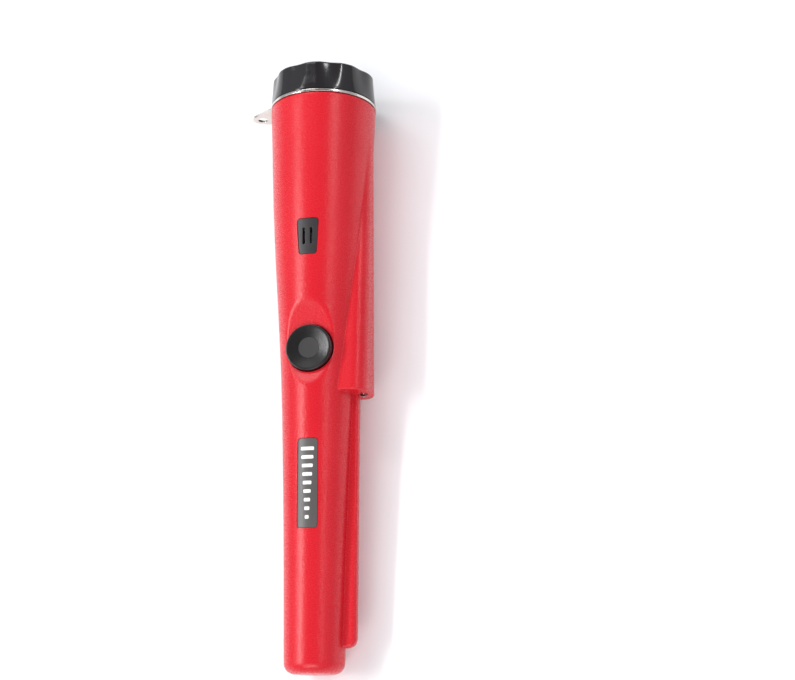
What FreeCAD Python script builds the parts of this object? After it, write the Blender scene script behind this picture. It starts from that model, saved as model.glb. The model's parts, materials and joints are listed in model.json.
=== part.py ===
import FreeCAD, Part
import math
import os
from FreeCAD import Vector

# Handheld metal-detecting pinpointer probe, in millimetres.
# Working frame: Y runs along the probe axis from the sensing tip (0) to the cap top,
# Z points out of the power button and X points at the lamp pod and scraper blade.
# On export the probe is tilted so that the lanyard ring and the tip both touch z = 0,
# and the origin is moved to the middle of the footprint.

# ---- driving dimensions ----
LENGTH = 229.0                 # tip face to cap top
BODY_END = 216.0               # shoulder under the lanyard ring
TIP_ROUND = 4.0
PROFILE = [(TIP_ROUND, 11.02), (50, 12.10), (85, 13.25), (110, 14.35), (147, 16.90),
           (175, 18.65), (200, 19.75), (215.5, 20.42)]      # (station, outer radius)
WALL = 2.2
FIT = 0.15                     # gap between parts that are fitted but not glued

NECK_RADIUS = 17.2
NECK_BORE = 16.0
NECK_END = 226.0
SHOULDER_RADIUS = 17.85        # ring seat at the foot of the neck
SHOULDER_END = 217.2
THREAD_PITCH = 3.0
THREAD_HEIGHT = 0.65
THREAD_START = 220.0
CAP_START = 217.4
CAP_BORE = 18.15
CAP_CEILING = 226.6
CAP_LOBES = 9
CAP_LOBE_TURN = 24.5           # degrees from the button towards the pod, to the first valley
CAP_PROFILE = [(CAP_START, 20.50, 0.00), (219.6, 20.42, 0.10), (223.0, 20.20, 0.40),
               (226.4, 20.02, 0.68), (LENGTH, 19.90, 0.85)]  # (station, crest radius, valley depth)

RING_START = 216.15
RING_THICK = 1.0
RING_RADIUS = 20.65
RING_HOLE = 18.0
EAR_REACH = 25.95              # axis to the centre of the ear's nose
EAR_NOSE = 4.0
EAR_HALF_ANGLE = 28.0
EAR_TURN = 184.6               # degrees from X towards Z
LANYARD_HOLE = 2.0

BUTTON_STATION = 117.2
BUTTON_RADIUS = 8.7
BUTTON_FACE = 14.4
BUTTON_FLANGE = 9.4
BUTTON_FLANGE_TOP = 9.3
BUTTON_HOLE = 9.05
POCKET_RADIUS = 41.0
POCKET_FLOOR = 11.8

POD_START = 101.6
POD_END = 206.0
POD_ROOT = 6.0
POD_SECTIONS = [(POD_START, 9.55, 20.1, 5.5), (POD_END, 5.0, 19.9, 4.0)]  # half width, reach, corner
POD_WALL = 3.0
LAMP_HEIGHT = 17.4
LAMP_RADIUS = 1.5
LAMP_RIM = 1.85

BLADE_START = 9.0
BLADE_REACH = 15.8
BLADE_THICK = 4.0
BLADE_NOSE = 3.5

GRILLE_START = 152.2
GRILLE_END = 166.2
GRILLE_SLOTS = [-1.43, 1.43]
LABEL_START = 50.8
LABEL_END = 83.5
LABEL_HALF = 3.9
LABEL_DEPTH = 0.7

BOARD_TOP = 2.6
BOARD_THICK = 1.6
BOARD_START = 57.0
BOARD_END = 160.0
CHASSIS_WALL = 1.4
SCREW_STATIONS = (63.5, 155.0)
CONNECTOR_PORTS = (-3.75, -1.25, 1.25, 3.75)
BULKHEAD_START = 166.4
BULKHEAD_THICK = 2.0
ROD_RADIUS = 4.0
MOTOR_AXIS = (4.5, -5.5)       # x, z
MOTOR_RADIUS = 3.5
MOTOR_START = 132.0
MOTOR_LENGTH = 12.0
BATTERY_START = 176.0
BATTERY_LENGTH = 45.6
STUD_HEIGHT = 2.6
STUD_SPACING = 12.8

Y_AXIS = Vector(0, 1, 0)
Z_AXIS = Vector(0, 0, 1)


# ---- helpers ----
def corner_arc(before, corner, after, radius):
    """Start, middle and end of the arc that rounds a corner."""
    back = (before - corner).normalize()
    ahead = (after - corner).normalize()
    half = back.getAngle(ahead) / 2
    reach = radius / math.tan(half)
    centre = corner + (back + ahead).normalize() * (radius / math.sin(half))
    middle = centre + (corner - centre).normalize() * radius
    return corner + back * reach, middle, corner + ahead * reach


def outline(points, radius):
    """Closed outline with every corner rounded."""
    arcs = []
    for i, corner in enumerate(points):
        arcs.append(corner_arc(points[i - 1], corner, points[(i + 1) % len(points)], radius))
    edges = []
    for i, (start, middle, end) in enumerate(arcs):
        edges.append(Part.Arc(start, middle, end).toShape())
        following = arcs[(i + 1) % len(arcs)][0]
        if end.distanceToPoint(following) > 0.001:
            edges.append(Part.LineSegment(end, following).toShape())
    return Part.Wire(edges)


def slab(points, radius, direction):
    return Part.Face(outline([Vector(*p) for p in points], radius)).extrude(Vector(*direction))


def rectangle(half_x, half_z, station):
    return [(-half_x, station, -half_z), (half_x, station, -half_z),
            (half_x, station, half_z), (-half_x, station, half_z)]


def block(low, high):
    size = Vector(*high) - Vector(*low)
    return Part.makeBox(size.x, size.y, size.z, Vector(*low))


def rod(radius, start, end, x=0.0, z=0.0):
    """Cylinder along the probe axis."""
    return Part.makeCylinder(radius, end - start, Vector(x, start, z), Y_AXIS)


def tube(outer, inner, start, end, x=0.0, z=0.0):
    return rod(outer, start, end, x, z).cut(rod(inner, start, end, x, z))


def post(radius, low, high, x, station):
    """Cylinder along the button direction."""
    return Part.makeCylinder(radius, high - low, Vector(x, station, low), Z_AXIS)


def turned(points, base, axis):
    """Solid of revolution; points are (radius, height) along the given axis."""
    if axis == Y_AXIS:
        corners = [Vector(r, h, 0) for r, h in points]
    else:
        corners = [Vector(r, 0, h) for r, h in points]
    face = Part.Face(Part.makePolygon(corners + corners[:1]))
    solid = face.revolve(Vector(0, 0, 0), axis, 360)
    solid.translate(base)
    return solid


def lead(points, radius):
    """Round wire along straight runs joined by arcs as large as the runs allow."""
    points = [Vector(*p) for p in points]
    edges = []
    here = points[0]
    for before, corner, after in zip(points, points[1:], points[2:]):
        shorter = min(before.distanceToPoint(corner), corner.distanceToPoint(after))
        turn = math.pi - (before - corner).getAngle(after - corner)
        start, middle, end = corner_arc(before, corner, after, 0.45 * shorter / math.tan(turn / 2))
        edges.append(Part.LineSegment(here, start).toShape())
        edges.append(Part.Arc(start, middle, end).toShape())
        here = end
    edges.append(Part.LineSegment(here, points[-1]).toShape())
    profile = Part.Wire(Part.makeCircle(radius, points[0], points[1] - points[0]))
    return Part.Wire(edges).makePipeShell([profile], True, True)


def joined(solids):
    result = solids[0]
    for solid in solids[1:]:
        result = result.fuse(solid)
    return result.removeSplitter()


# ---- body shell ----
BODY_CURVE = Part.BSplineCurve()
BODY_CURVE.interpolate([Vector(r, s, 0) for s, r in PROFILE])


def radius_at(station):
    """Outer radius of the body at a station."""
    low, high = BODY_CURVE.FirstParameter, BODY_CURVE.LastParameter
    for _ in range(40):
        middle = (low + high) / 2
        if BODY_CURVE.value(middle).y < station:
            low = middle
        else:
            high = middle
    return BODY_CURVE.value(low).x


def body_solid(inset, start, end):
    """Solid inside the body surface, a given depth under it, between two stations."""
    stations = [start] + [s for s, _ in PROFILE if start + 2 < s < end - 2] + [end]
    skin = Part.BSplineCurve()
    skin.interpolate([Vector(radius_at(s) - inset, s, 0) for s in stations])
    first = Vector(radius_at(start) - inset, start, 0)
    last = Vector(radius_at(end) - inset, end, 0)
    on_axis_end = Vector(0, end, 0)
    on_axis_start = Vector(0, start, 0)
    edges = [skin.toShape(), Part.makeLine(last, on_axis_end),
             Part.makeLine(on_axis_end, on_axis_start), Part.makeLine(on_axis_start, first)]
    return Part.Face(Part.Wire(edges)).revolve(Vector(0, 0, 0), Y_AXIS, 360)


def body_outside():
    tip_radius = PROFILE[0][1]
    rim_station, rim_radius = PROFILE[-1]
    centre = Vector(tip_radius - TIP_ROUND, TIP_ROUND, 0)
    half = TIP_ROUND * math.sqrt(0.5)
    tip_arc = Part.Arc(Vector(centre.x, 0, 0), centre + Vector(half, -half, 0), Vector(tip_radius, TIP_ROUND, 0))
    rim = Vector(rim_radius, rim_station, 0)
    shoulder = Vector(rim_radius - 0.5, BODY_END, 0)
    edges = [Part.makeLine(Vector(0, 0, 0), Vector(centre.x, 0, 0)), tip_arc.toShape(),
             BODY_CURVE.toShape(), Part.makeLine(rim, shoulder),
             Part.makeLine(shoulder, Vector(0, BODY_END, 0)),
             Part.makeLine(Vector(0, BODY_END, 0), Vector(0, 0, 0))]
    return Part.Face(Part.Wire(edges)).revolve(Vector(0, 0, 0), Y_AXIS, 360)


def pod_section(station, half, reach, corner):
    low = Vector(POD_ROOT, station, -half)
    high = Vector(POD_ROOT, station, half)
    lower = corner_arc(low, Vector(reach, station, -half), Vector(reach, station, 0), corner)
    upper = corner_arc(Vector(reach, station, 0), Vector(reach, station, half), high, corner)
    edges = [Part.makeLine(low, lower[0]), Part.Arc(*lower).toShape(),
             Part.makeLine(lower[2], upper[0]), Part.Arc(*upper).toShape(),
             Part.makeLine(upper[2], high), Part.makeLine(high, low)]
    return Part.Wire(edges)


def pod_outside():
    solid = Part.makeLoft([pod_section(*s) for s in POD_SECTIONS], True, True)
    rim = []
    for edge in solid.Edges:
        box = edge.BoundBox
        if box.YMax < POD_START + 0.01 and box.XMax > POD_ROOT + 0.01:
            rim.append(edge)
    return solid.makeFillet(0.8, rim)


def pod_inside():
    sections = []
    for station, half, reach, corner in POD_SECTIONS:
        sections.append(pod_section(station, half - POD_WALL, reach - POD_WALL, corner - 0.9 * POD_WALL))
    whole = Part.makeLoft(sections, True, True)
    return whole.common(block((POD_ROOT, POD_START + 3, -12), (22, POD_END - 14, 12)))


def blade():
    low, high = BLADE_START, POD_START + 2
    nose = corner_arc(Vector(BLADE_REACH - 8, low, 0), Vector(BLADE_REACH, low, 0),
                      Vector(BLADE_REACH, high, 0), BLADE_NOSE)
    inner = Vector(low, low, 0)
    far = Vector(BLADE_REACH, high, 0)
    back = Vector(low, high, 0)
    edges = [Part.makeLine(inner, nose[0]), Part.Arc(*nose).toShape(), Part.makeLine(nose[2], far),
             Part.makeLine(far, back), Part.makeLine(back, inner)]
    solid = Part.Face(Part.Wire(edges)).extrude(Vector(0, 0, BLADE_THICK))
    solid.translate(Vector(0, 0, -BLADE_THICK / 2))
    crest = []
    for edge in solid.Edges:
        box = edge.BoundBox
        outer = box.XMin > BLADE_REACH - BLADE_NOSE - 0.01 and box.ZMax - box.ZMin < 0.01
        if outer and box.YMax < high + 0.01 and box.XMax > BLADE_REACH - 0.01:
            crest.append(edge)
    return solid.makeFillet(1.4, crest)


def pocket(radius):
    centre = Vector(-30, BUTTON_STATION, POCKET_FLOOR + POCKET_RADIUS)
    return Part.makeCylinder(radius, 60, centre, Vector(1, 0, 0))


def grille_window(gap, low, high):
    """Trapezoid column that is wider at the cap end."""
    near, far = 3.5 - gap, 4.35 - gap
    start, end = GRILLE_START + gap, GRILLE_END - gap
    corners = [(-near, start, low), (near, start, low), (far, end, low), (-far, end, low)]
    return slab(corners, 1.3 - gap, (0, 0, high - low))


def label_window(gap, low, high):
    start, end = LABEL_START + gap, LABEL_END - gap
    half = LABEL_HALF - gap
    corners = [(-half, start, low), (half, start, low), (half, end, low), (-half, end, low)]
    return slab(corners, 1.3 - gap, (0, 0, high - low))


def thread_ridge(root, height, start, turns):
    """Helical ridge on a root radius; a negative height makes it stand inwards."""
    sunk = -0.25 if height > 0 else 0.25
    helix = Part.makeHelix(THREAD_PITCH, THREAD_PITCH * turns, root)
    corners = [Vector(root + sunk, 0, -0.70), Vector(root + height, 0, -0.35),
               Vector(root + height, 0, 0.35), Vector(root + sunk, 0, 0.70)]
    ridge = Part.Wire(helix.Edges).makePipeShell([Part.makePolygon(corners + corners[:1])], True, True)
    ridge.rotate(Vector(0, 0, 0), Vector(1, 0, 0), -90)
    ridge.translate(Vector(0, start, 0))
    return ridge


def neck():
    core = joined([rod(SHOULDER_RADIUS, BODY_END - 3, SHOULDER_END), rod(NECK_RADIUS, BODY_END - 3, NECK_END)])
    return core.fuse(thread_ridge(NECK_RADIUS, THREAD_HEIGHT, THREAD_START, 1.75))


def main_housing():
    shell = body_outside().fuse(pod_outside()).fuse(blade())
    hollow = body_solid(WALL, TIP_ROUND + 0.5, BODY_END - 4).cut(pocket(POCKET_RADIUS + WALL))
    tip_hollow = turned([(0, 2.4), (6.6, 2.4), (8.8, 4.6), (8.8, 5), (0, 5)], Vector(0, 0, 0), Y_AXIS)
    shell = shell.cut(hollow).cut(tip_hollow).cut(pod_inside().cut(pocket(POCKET_RADIUS + WALL)))
    shell = shell.cut(pocket(POCKET_RADIUS)).fuse(neck())
    shell = shell.cut(rod(NECK_BORE, BODY_END - 5, NECK_END + 1))
    shell = shell.cut(post(BUTTON_HOLE, 5, 20, 0, BUTTON_STATION))
    shell = shell.cut(post(BUTTON_FLANGE + 0.3, 5, BUTTON_FLANGE_TOP + 0.3, 0, BUTTON_STATION))
    shell = shell.cut(grille_window(0, 8, 22))
    label_cut = label_window(0, 6, 20).cut(body_solid(LABEL_DEPTH, LABEL_START - 4, LABEL_END + 4))
    shell = shell.cut(label_cut)
    shell = shell.cut(rod(LAMP_RIM + 0.1, POD_START + 3, POD_START + 10.4, LAMP_HEIGHT))
    return shell.cut(rod(LAMP_RADIUS + 0.05, POD_START - 0.5, POD_START + 4, LAMP_HEIGHT))


# ---- cap, ring and seals ----
def cap_section(station, crest, depth):
    points = []
    count = CAP_LOBES * 6
    for i in range(count):
        angle = 2 * math.pi * i / count
        from_valley = CAP_LOBES * (angle - math.radians(CAP_LOBE_TURN))
        radius = crest - depth * (0.5 + 0.5 * math.cos(from_valley)) ** 1.5
        points.append(Vector(radius * math.sin(angle), station, radius * math.cos(angle)))
    curve = Part.BSplineCurve()
    curve.interpolate(points, True)
    return Part.Wire(curve.toShape())


def battery_cap():
    solid = Part.makeLoft([cap_section(*s) for s in CAP_PROFILE], True, False)
    top = [e for e in solid.Edges if e.BoundBox.YMin > LENGTH - 0.01]
    solid = solid.makeFillet(1.0, top)
    solid = solid.cut(rod(CAP_BORE, CAP_START - 1, CAP_CEILING))
    solid = solid.cut(rod(CAP_BORE + 0.6, CAP_START - 1, CAP_START + 1.8))
    return solid.fuse(thread_ridge(CAP_BORE, -THREAD_HEIGHT, THREAD_START + THREAD_PITCH / 2, 1.4))


def battery_bumper():
    """Rubber disc under the cap, with two raised rings that press on the battery."""
    profile = [(0, 223.0), (4, 223.0), (4, 222.0), (6, 222.0), (6, 223.0), (11, 223.0), (11, 222.0),
               (13, 222.0), (13, 223.0), (15.2, 223.0), (15.2, CAP_CEILING - 0.02), (0, CAP_CEILING - 0.02)]
    return turned(profile, Vector(0, 0, 0), Y_AXIS)


def cap_seal_ring():
    return Part.makeTorus(SHOULDER_RADIUS, 0.63, Vector(0, SHOULDER_END + 0.9, 0), Y_AXIS)


def lanyard_ring():
    """Flat washer with a pointed ear that carries the lanyard hole."""
    half = math.radians(EAR_HALF_ANGLE)
    tangent = Vector(EAR_REACH + EAR_NOSE * math.sin(half), EAR_NOSE * math.cos(half), 0)
    slope = Vector(-math.cos(half), math.sin(half), 0)
    root = tangent + slope * 9.5
    mirrored = [Vector(p.x, -p.y, 0) for p in (tangent, root)]
    edges = [Part.makeLine(root, tangent),
             Part.Arc(tangent, Vector(EAR_REACH + EAR_NOSE, 0, 0), mirrored[0]).toShape(),
             Part.makeLine(mirrored[0], mirrored[1]), Part.makeLine(mirrored[1], root)]
    ear = Part.Face(Part.Wire(edges)).extrude(Vector(0, 0, RING_THICK))
    disc = Part.makeCylinder(RING_RADIUS, RING_THICK)
    plate = joined([disc, ear])
    plate = plate.cut(Part.makeCylinder(RING_HOLE, RING_THICK))
    plate = plate.cut(Part.makeCylinder(LANYARD_HOLE, RING_THICK, Vector(EAR_REACH, 0, 0)))
    plate.rotate(Vector(0, 0, 0), Vector(1, 0, 0), -90)
    plate.rotate(Vector(0, 0, 0), Y_AXIS, -EAR_TURN)
    plate.translate(Vector(0, RING_START, 0))
    return plate


# ---- button and switch ----
def power_button():
    """Dished round cap with a retaining flange, a hollow skirt and a centre stem."""
    face = BUTTON_FACE
    flange_low = BUTTON_FLANGE_TOP - 1
    profile = [(0, face - 0.7), (4.0, face - 0.7), (8.0, face - 0.05), (8.4, face), (BUTTON_RADIUS, face - 0.35),
               (BUTTON_RADIUS, BUTTON_FLANGE_TOP), (BUTTON_FLANGE, BUTTON_FLANGE_TOP),
               (BUTTON_FLANGE, flange_low), (7.4, flange_low), (7.4, 12.2), (2.0, 12.2), (2.0, 7.45), (0, 7.45)]
    return turned(profile, Vector(0, BUTTON_STATION, 0), Z_AXIS)


def button_spring():
    turns, wire, mean = 5, 0.28, 4.75
    low, high = BOARD_TOP + wire + 0.02, 12.2 - wire - 0.02
    helix = Part.makeHelix((high - low) / turns, high - low, mean)
    profile = Part.Wire(Part.makeCircle(wire, Vector(mean, 0, 0), Y_AXIS))
    coil = Part.Wire(helix.Edges).makePipeShell([profile], True, True)
    coil.translate(Vector(0, BUTTON_STATION, low))
    return coil


def power_switch():
    body = slab([(-3, BUTTON_STATION - 3, BOARD_TOP), (3, BUTTON_STATION - 3, BOARD_TOP),
                 (3, BUTTON_STATION + 3, BOARD_TOP), (-3, BUTTON_STATION + 3, BOARD_TOP)], 0.4, (0, 0, 3.5))
    return body.cut(post(1.55, 3.2, 8, 0, BUTTON_STATION))


def switch_plunger():
    return post(1.5, 4.6, 7.4, 0, BUTTON_STATION)


# ---- speaker, label and lamp ----
def speaker_grille():
    shell = body_solid(0.1, GRILLE_START - 4, GRILLE_END + 4).cut(body_solid(WALL, GRILLE_START - 5, GRILLE_END + 5))
    insert = shell.common(grille_window(FIT, 10, 22))
    middle = (GRILLE_START + GRILLE_END) / 2
    for x in GRILLE_SLOTS:
        half = 0.45
        low, high = middle - 3.0, middle + 3.3
        corners = [(x - half, low, 8), (x + half, low, 8), (x + half, high, 8), (x - half, high, 8)]
        insert = insert.cut(slab(corners, 0.42, (0, 0, 14)))
    return insert


def label_plate():
    outer = body_solid(0.12, LABEL_START - 4, LABEL_END + 4)
    inner = body_solid(LABEL_DEPTH - 0.02, LABEL_START - 5, LABEL_END + 5)
    return outer.cut(inner).common(label_window(FIT, 6, 20))


def speaker():
    centre = (GRILLE_START + GRILLE_END) / 2
    can = [(0, 10.4), (6.0, 10.4), (6.0, 13.6), (5.0, 13.6), (5.0, 13.2), (0, 13.2)]
    return turned(can, Vector(0, centre, 0), Z_AXIS)


def speaker_gasket():
    centre = (GRILLE_START + GRILLE_END) / 2
    ring = post(6.0, 13.62, 18, 0, centre).cut(post(4.9, 13, 19, 0, centre))
    return ring.common(body_solid(WALL + 0.02, GRILLE_START - 6, GRILLE_END + 6))


def lamp():
    base = POD_START
    profile = [(0, base + 5.6), (LAMP_RADIUS, base + 5.6), (LAMP_RADIUS, base + 4.4), (LAMP_RIM, base + 4.4),
               (LAMP_RIM, base + 3.1), (LAMP_RADIUS, base + 3.1), (LAMP_RADIUS, base + 0.6), (0, base + 0.6)]
    barrel = turned(profile, Vector(LAMP_HEIGHT, 0, 0), Y_AXIS)
    dome = Part.makeSphere(LAMP_RADIUS, Vector(LAMP_HEIGHT, base + 0.6, 0))
    return joined([barrel, dome])


def lamp_wires():
    wires = []
    for side in (0.75, -0.75):
        route = [(LAMP_HEIGHT, POD_START + 5.6, side), (LAMP_HEIGHT - 0.3, 110.6, side + 0.4),
                 (15.6, 114.0, side + 1.9), (12.6, 117.4, side * 0.6 + 3.9), (9.6 + side, 121.4, BOARD_TOP + 0.4)]
        wires.append(lead(route, 0.35))
    return Part.makeCompound(wires)


# ---- chassis and board ----
def chassis():
    """Half-round cradle that carries the board, motor and sensing rod and stops the battery."""
    gap = WALL + FIT
    start = BOARD_START - 4
    top = BOARD_TOP - BOARD_THICK - 0.02
    below = block((-20, start, -20), (20, BULKHEAD_START + BULKHEAD_THICK, top))
    whole = body_solid(gap, start, BULKHEAD_START + BULKHEAD_THICK)
    cradle = whole.cut(body_solid(gap + CHASSIS_WALL, start - 1, BULKHEAD_START)).common(below)
    disc = whole.common(block((-20, BULKHEAD_START, -20), (20, BULKHEAD_START + BULKHEAD_THICK, 20)))
    disc = disc.cut(block((-6, BULKHEAD_START - 1, 6.5), (6, BULKHEAD_START + 3, 12.5)))
    extras = []
    for station in SCREW_STATIONS:
        extras.append(post(2.3, -16, top, 0, station).common(whole))
    x, z = MOTOR_AXIS
    saddle = block((x - 4, MOTOR_START + 1.5, -16), (x + 4, MOTOR_START + 10.5, z - 1)).common(whole)
    extras.append(saddle.cut(rod(MOTOR_RADIUS + 1.02, MOTOR_START, MOTOR_START + 12, x, z)))
    socket = tube(6.0, 4.85, start, start + 3.6)
    web = block((-2.5, start, -9.2), (2.5, start + 3.6, -5.4)).common(whole)
    extras.append(socket.fuse(web))
    solid = joined([cradle, disc] + extras)
    for station in SCREW_STATIONS:
        solid = solid.cut(post(0.8, -6, top + 1, 0, station))
    return solid


def circuit_board():
    narrow, wide = 7.8, 13.5
    low = BOARD_TOP - BOARD_THICK
    corners = [(-narrow, BOARD_START, low), (narrow, BOARD_START, low), (wide, BOARD_END, low), (-wide, BOARD_END, low)]
    board = slab(corners, 1.0, (0, 0, BOARD_THICK))
    for station in SCREW_STATIONS:
        board = board.cut(post(1.1, 0, 4, 0, station))
    return board


def board_screws():
    screws = []
    for station in SCREW_STATIONS:
        head = post(1.9, BOARD_TOP + 0.02, BOARD_TOP + 1.4, 0, station)
        shank = post(0.78, -5, BOARD_TOP + 0.1, 0, station)
        drive = block((-1.2, station - 0.25, BOARD_TOP + 0.8), (1.2, station + 0.25, BOARD_TOP + 2))
        cross = block((-0.25, station - 1.2, BOARD_TOP + 0.8), (0.25, station + 1.2, BOARD_TOP + 2))
        screws.append(joined([head, shank]).cut(drive).cut(cross))
    return Part.makeCompound(screws)


def chip(x, station, half_x, half_y, height):
    low = BOARD_TOP + 0.02
    body = block((x - half_x, station - half_y, low + 0.15), (x + half_x, station + half_y, low + height))
    legs = []
    for side in (-1, 1):
        count = int(half_y / 0.65)
        for i in range(count):
            y = station + (i - (count - 1) / 2) * 1.27
            inner = x + side * (half_x - 0.2)
            outer = x + side * (half_x + 0.9)
            legs.append(block((min(inner, outer), y - 0.2, low), (max(inner, outer), y + 0.2, low + 0.35)))
    return joined([body] + legs)


def integrated_circuits():
    chips = [chip(0, 90.0, 3.2, 3.4, 1.2), chip(-2.6, 77.0, 1.9, 2.6, 1.6), chip(4.6, 137.0, 1.9, 2.6, 1.6)]
    return Part.makeCompound(chips)


def capacitors():
    low = BOARD_TOP + 0.02
    cans = []
    for x, station, radius, height in ((-5.2, 134.5, 2.5, 5.4), (-5.6, 141.5, 2.5, 5.4), (3.8, 99.5, 2.0, 4.4)):
        can = post(radius, low, low + height, x, station)
        groove = post(radius + 1, low + 1, low + 1.5, x, station).cut(post(radius - 0.25, low, low + 2, x, station))
        cans.append(can.cut(groove))
    return Part.makeCompound(cans)


def crystal():
    low = BOARD_TOP + 0.02
    corners = [(-1.6, 99.2, low), (-5.4, 99.2, low), (-5.4, 101.6, low), (-1.6, 101.6, low)]
    return slab(corners, 1.0, (0, 0, 3.2))


def coil_connector():
    low = BOARD_TOP + 0.02
    body = block((-5.0, 69.8, low), (5.0, 72.4, low + 2.6))
    for x in CONNECTOR_PORTS:
        body = body.cut(block((x - 0.5, 69.0, low + 0.7), (x + 0.5, 71.6, low + 1.7)))
    return body


# ---- sensing rod ----
def ferrite_rod():
    return rod(ROD_RADIUS, 6.6, 54.0)


def coil_former():
    former = tube(4.8, ROD_RADIUS + 0.04, 8.0, BOARD_START - 0.5)
    for station in (10.0, 32.0, 46.5):
        former = former.fuse(tube(7.9, 4.5, station, station + 1.6))
    return former.removeSplitter()


def winding(start, end, radius):
    """Wound coil with softly rounded shoulders."""
    inner = 4.82
    edge = 0.5
    return turned([(inner, start), (radius - edge, start), (radius, start + edge), (radius, end - edge),
                   (radius - edge, end), (inner, end)], Vector(0, 0, 0), Y_AXIS)


def coil_wires():
    wires = []
    for x in CONNECTOR_PORTS:
        route = [(x * 0.8, 48.3, 6.9), (x * 0.85, 54.0, 7.0 - abs(x) * 0.1),
                 (x * 0.95, 60.0, 6.3), (x, 65.2, 5.3), (x, 68.4, 3.9), (x, 70.3, 3.84)]
        wires.append(lead(route, 0.3))
    return Part.makeCompound(wires)


def tip_cushion():
    return turned([(0, 2.45), (6.2, 2.45), (8.2, 4.6), (8.2, 7.6), (4.1, 7.6), (4.1, 6.58), (0, 6.58)],
                  Vector(0, 0, 0), Y_AXIS)


# ---- vibration motor ----
def vibration_motor():
    x, z = MOTOR_AXIS
    end = MOTOR_START + MOTOR_LENGTH
    can = joined([rod(MOTOR_RADIUS, MOTOR_START, end, x, z), rod(1.3, MOTOR_START - 0.8, MOTOR_START + 1, x, z),
                  rod(1.5, end - 1, end + 0.7, x, z)])
    flats = block((x - 5, MOTOR_START - 0.1, z + 2.9), (x + 5, end + 0.1, z + 5))
    flats = flats.fuse(block((x - 5, MOTOR_START - 0.1, z - 5), (x + 5, end + 0.1, z - 2.9)))
    return can.cut(flats).cut(rod(0.8, end - 4, end + 1, x, z))


def motor_sleeve():
    x, z = MOTOR_AXIS
    outside = rod(MOTOR_RADIUS + 1, MOTOR_START + 1.5, MOTOR_START + 10.5, x, z)
    flats = block((x - 5, MOTOR_START, z + 2.92), (x + 5, MOTOR_START + 12, z + 5))
    flats = flats.fuse(block((x - 5, MOTOR_START, z - 5), (x + 5, MOTOR_START + 12, z - 2.92)))
    bore = rod(MOTOR_RADIUS + 0.02, MOTOR_START, MOTOR_START + 12, x, z).cut(flats)
    return outside.cut(bore)


def motor_weight():
    """Half-round eccentric weight on its shaft, hanging down at rest."""
    x, z = MOTOR_AXIS
    end = MOTOR_START + MOTOR_LENGTH
    disc = rod(4.2, end + 1.4, end + 5.6, x, z).cut(block((x - 5, end, z), (x + 5, end + 7, z + 5)))
    hub = rod(1.6, end + 1.4, end + 5.6, x, z)
    shaft = rod(0.75, end - 3.5, end + 6.2, x, z)
    return joined([disc, hub, shaft])


def motor_wires():
    x, z = MOTOR_AXIS
    wires = []
    for side in (-1.9, 1.9):
        route = [(x + side, MOTOR_START, z + 0.6), (x + side * 1.1, MOTOR_START - 3.4, z + 1.0),
                 (x + side * 1.3, MOTOR_START - 6.4, z + 3.2), (x + side * 1.4, MOTOR_START - 7.0, 0.98)]
        wires.append(lead(route, 0.35))
    return Part.makeCompound(wires)


def speaker_wires():
    wires = []
    for side in (-1, 1):
        route = [(side * 1.6, 153.2, 10.9), (side * 1.9, 149.6, 10.3), (side * 2.2, 147.2, 7.2),
                 (side * 2.4, 147.0, BOARD_TOP + 0.02)]
        wires.append(lead(route, 0.35))
    return Part.makeCompound(wires)


# ---- battery and its snap connector ----
def battery():
    """9 V block with a rounded jacket."""
    corners = rectangle(13.2, 8.7, BATTERY_START)
    return slab(corners, 2.6, (0, BATTERY_LENGTH, 0))


def battery_terminals():
    offset = STUD_SPACING / 2
    low = BATTERY_START - STUD_HEIGHT
    small = joined([rod(2.8, low, BATTERY_START, -offset), rod(4.2, BATTERY_START - 0.5, BATTERY_START, -offset)])
    large = tube(4.3, 3.0, low, BATTERY_START, offset).fuse(rod(4.3, BATTERY_START - 0.5, BATTERY_START, offset))
    return Part.makeCompound([small, large.removeSplitter()])


def snap_connector():
    low = BATTERY_START - STUD_HEIGHT - 3.8
    return slab(rectangle(12.4, 7.2, low), 3.0, (0, 2.4, 0))


def snap_contacts():
    offset = STUD_SPACING / 2
    low = BATTERY_START - STUD_HEIGHT - 1.38
    base = low + 1.0
    tip = BATTERY_START - 0.6
    cup = tube(4.2, 2.84, base - 0.2, tip, -offset).fuse(rod(4.2, low, base, -offset))
    pin = joined([rod(2.9, low, tip, offset), rod(4.2, low, base, offset)])
    return Part.makeCompound([cup.removeSplitter(), pin])


def battery_lead(side):
    start = BATTERY_START - STUD_HEIGHT - 2.6
    route = [(side * 3.2, start, 7.22), (side * 3.2, start + 0.1, 10.4), (side * 3.4, 166.2, 9.2),
             (side * 3.9, 160.5, 7.6), (side * 4.3, 154.5, 4.4), (side * 4.5, 149.6, 3.3)]
    return lead(route, 0.6)


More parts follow.
